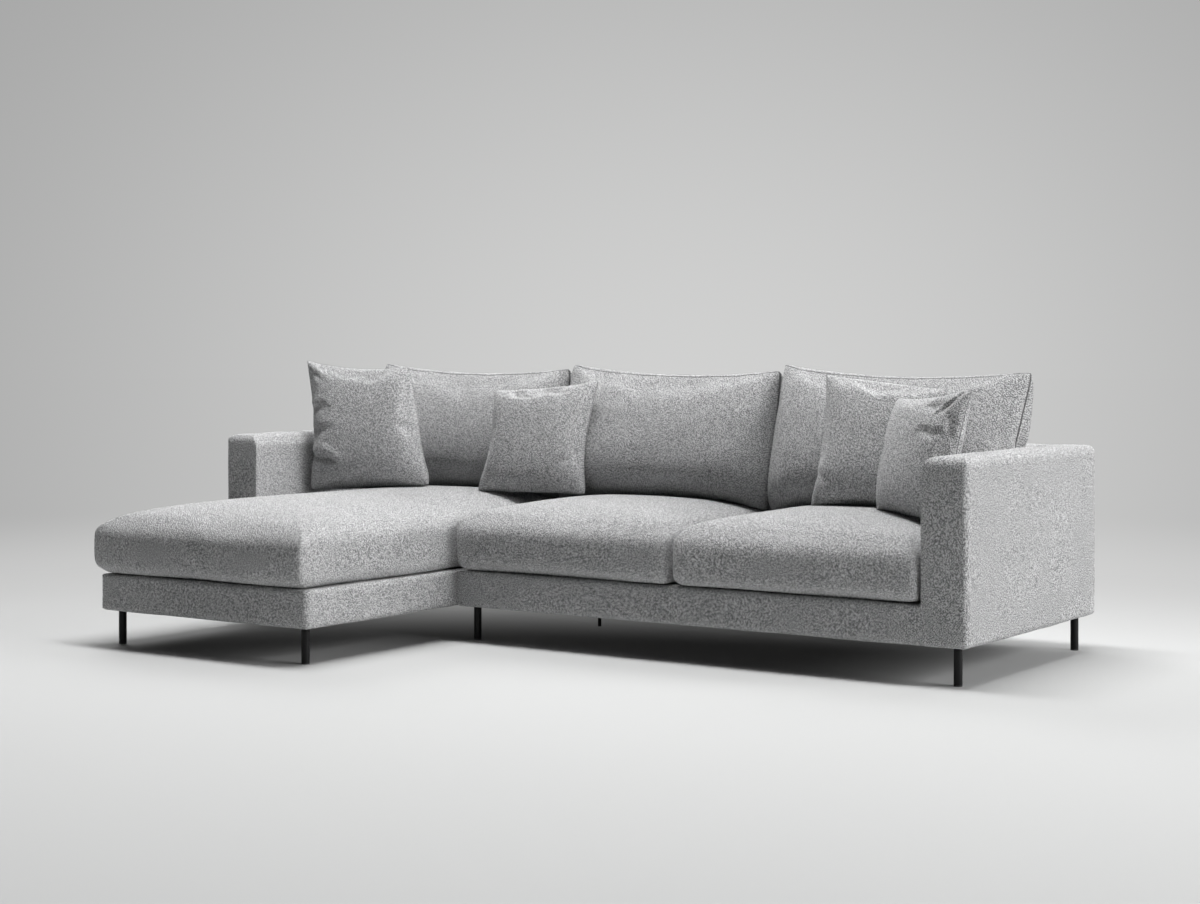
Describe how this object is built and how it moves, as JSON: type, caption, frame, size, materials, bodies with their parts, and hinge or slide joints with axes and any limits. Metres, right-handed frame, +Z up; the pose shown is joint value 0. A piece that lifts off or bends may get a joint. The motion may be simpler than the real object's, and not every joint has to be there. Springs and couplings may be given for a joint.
{
  "type": "corner sofa",
  "caption": "Corner sofa in light grey cloth: a chaise module on the left, a seat module on the right, square arms, loose seat, back and scatter cushions, slim black legs.",
  "frame": {"origin": "on the floor, below the middle of the overall box", "axes": "+X along the width, towards the right end as seen from the front, +Y to the back, +Z up; the front faces -Y"},
  "size_m": [2.83, 1.709, 0.9032],
  "materials": {
    "cover_cloth": "light grey heathered weave, glued and stapled over foam",
    "cushion_cloth": "light grey heathered weave, sewn cushion covers",
    "scatter_cloth": "light grey heathered weave, soft scatter cushions",
    "deck_cloth": "plain grey decking cloth, hidden by the seat cushions",
    "dust_cloth": "black non-woven cloth",
    "strap_webbing": "woven elastic webbing",
    "timber": "planed unpainted softwood",
    "foam": "open cell foam, off white",
    "fibre_filling": "white hollow fibre in a plain case",
    "zinc_steel": "bright zinc plate",
    "black_leg": "satin black powder coat",
    "insert_brass": "plain turned brass",
    "glide_plastic": "matt black plastic"
  },
  "bodies": {
    "frame": {"chaise_side_rails": "timber", "chaise_end_rails": "timber", "chaise_cross_rails": "timber", "chaise_corner_blocks": "timber", "chaise_long_straps": "strap_webbing", "chaise_cross_straps": "strap_webbing", "chaise_deck": "deck_cloth", "chaise_front_cover": "cover_cloth", "chaise_side_covers": "cover_cloth", "chaise_dust_cover": "dust_cloth", "chaise_back_frame": "timber", "chaise_back_pad": "foam", "chaise_back_cover": "cover_cloth", "left_arm_frame": "timber", "left_arm_pad": "foam", "left_arm_cover": "cover_cloth", "sofa_side_rails": "timber", "sofa_end_rails": "timber", "sofa_cross_rails": "timber", "sofa_corner_blocks": "timber", "sofa_long_straps": "strap_webbing", "sofa_cross_straps": "strap_webbing", "sofa_deck": "deck_cloth", "sofa_front_cover": "cover_cloth", "sofa_side_covers": "cover_cloth", "sofa_dust_cover": "dust_cloth", "sofa_back_frame": "timber", "sofa_back_pad": "foam", "sofa_back_cover": "cover_cloth", "right_arm_frame": "timber", "right_arm_pad": "foam", "right_arm_cover": "cover_cloth", "side_bolts": "zinc_steel", "side_nuts": "zinc_steel", "back_bolts": "zinc_steel", "back_nuts": "zinc_steel", "chaise_legs": "black_leg", "sofa_legs": "black_leg", "support_leg": "black_leg", "leg_inserts": "insert_brass", "leg_glides": "glide_plastic"},
    "chaise_seat": {"chaise_cushion": "cushion_cloth", "chaise_cushion_core": "foam"},
    "left_seat": {"left_seat_cushion": "cushion_cloth", "left_seat_core": "foam"},
    "right_seat": {"right_seat_cushion": "cushion_cloth", "right_seat_core": "foam"},
    "left_back_rest": {"left_back_cushion": "cushion_cloth", "left_back_filling": "fibre_filling"},
    "middle_back_rest": {"middle_back_cushion": "cushion_cloth", "middle_back_filling": "fibre_filling"},
    "right_back_rest": {"right_back_cushion": "cushion_cloth", "right_back_filling": "fibre_filling"},
    "scatter_a": {"large_scatter_left": "scatter_cloth"},
    "scatter_b": {"small_scatter_middle": "scatter_cloth"},
    "scatter_c": {"large_scatter_right": "scatter_cloth"},
    "scatter_d": {"small_scatter_right": "scatter_cloth"}
  },
  "joints": [
    {"name": "chaise_cushion_slide", "type": "slide", "parent": "frame", "child": "chaise_seat", "axis": [0, -1, 0], "range_m": [0, 1.55]},
    {"name": "left_seat_slide", "type": "slide", "parent": "frame", "child": "left_seat", "axis": [0, -1, 0], "range_m": [0, 0.85]},
    {"name": "right_seat_slide", "type": "slide", "parent": "frame", "child": "right_seat", "axis": [0, -1, 0], "range_m": [0, 0.85]},
    {"name": "left_back_lift", "type": "slide", "parent": "frame", "child": "left_back_rest", "axis": [0, 0.2079, 0.9781], "range_m": [0, 0.48]},
    {"name": "middle_back_lift", "type": "slide", "parent": "frame", "child": "middle_back_rest", "axis": [0, 0.2079, 0.9781], "range_m": [0, 0.48]},
    {"name": "right_back_lift", "type": "slide", "parent": "frame", "child": "right_back_rest", "axis": [0, 0.2079, 0.9781], "range_m": [0, 0.48]},
    {"name": "scatter_a_lift", "type": "slide", "parent": "left_back_rest", "child": "scatter_a", "axis": [0, -0.7071, 0.7071], "range_m": [0, 0.4]},
    {"name": "scatter_b_lift", "type": "slide", "parent": "left_back_rest", "child": "scatter_b", "axis": [0, -0.7071, 0.7071], "range_m": [0, 0.4]},
    {"name": "scatter_c_lift", "type": "slide", "parent": "right_back_rest", "child": "scatter_c", "axis": [0, -0.7071, 0.7071], "range_m": [0, 0.4]},
    {"name": "scatter_d_lift", "type": "slide", "parent": "scatter_c", "child": "scatter_d", "axis": [0, -0.7071, 0.7071], "range_m": [0, 0.4]}
  ]
}
